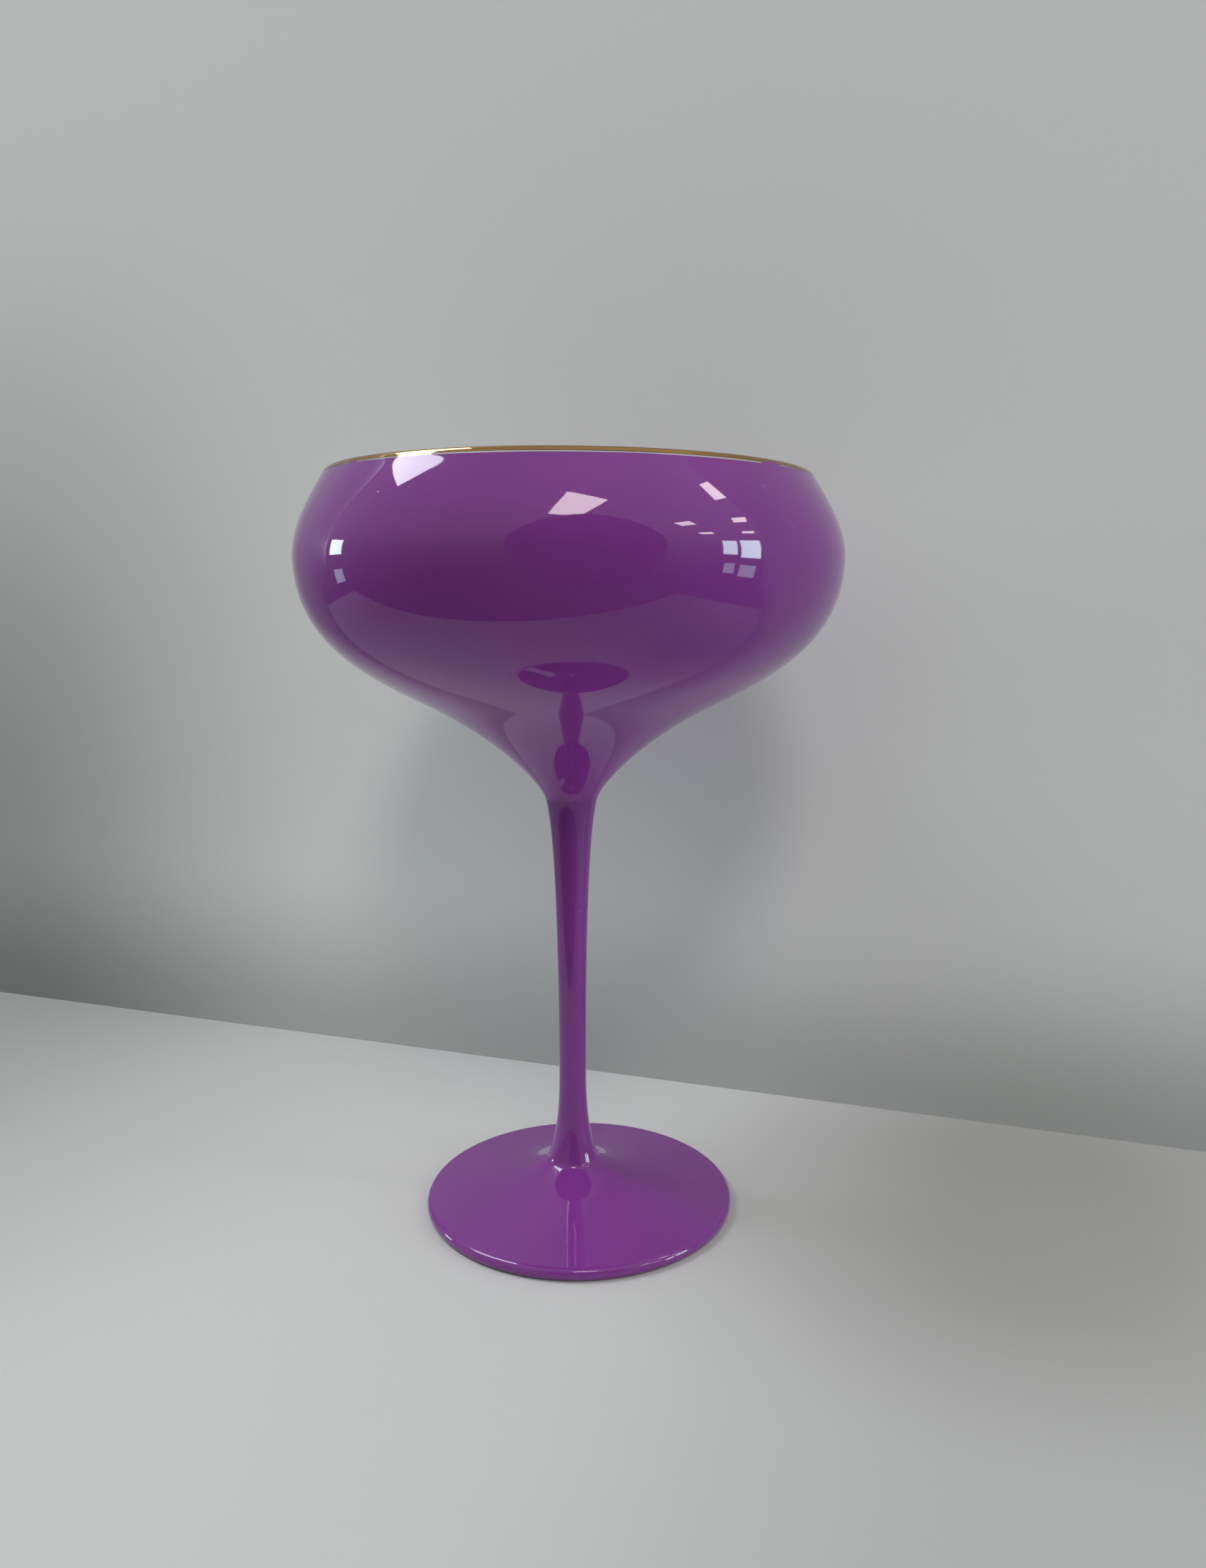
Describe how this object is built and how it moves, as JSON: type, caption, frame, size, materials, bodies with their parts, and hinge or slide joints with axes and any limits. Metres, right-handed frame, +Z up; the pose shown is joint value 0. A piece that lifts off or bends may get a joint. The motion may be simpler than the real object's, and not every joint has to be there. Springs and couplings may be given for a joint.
{
  "type": "champagne coupe",
  "caption": "Stemmed champagne coupe: wide saucer bowl with a gold-banded lip, drawn stem and round foot, clear glass under glossy purple lacquer.",
  "frame": {"origin": "centre of the foot's resting ring, on the surface the glass stands on", "axes": "+Z up along the axis of revolution, through foot, stem and bowl"},
  "size_m": [0.1096, 0.1096, 0.155],
  "materials": {
    "clear_glass": "clear, fire-polished",
    "purple_lacquer": "opaque high gloss",
    "fired_gold": "polished, hand-laid edge"
  },
  "bodies": {
    "root": {"foot": "clear_glass", "stem": "clear_glass", "bowl": "clear_glass", "foot_lacquer": "purple_lacquer", "stem_lacquer": "purple_lacquer", "bowl_lacquer": "purple_lacquer", "gold_rim_band": "fired_gold"}
  },
  "joints": []
}
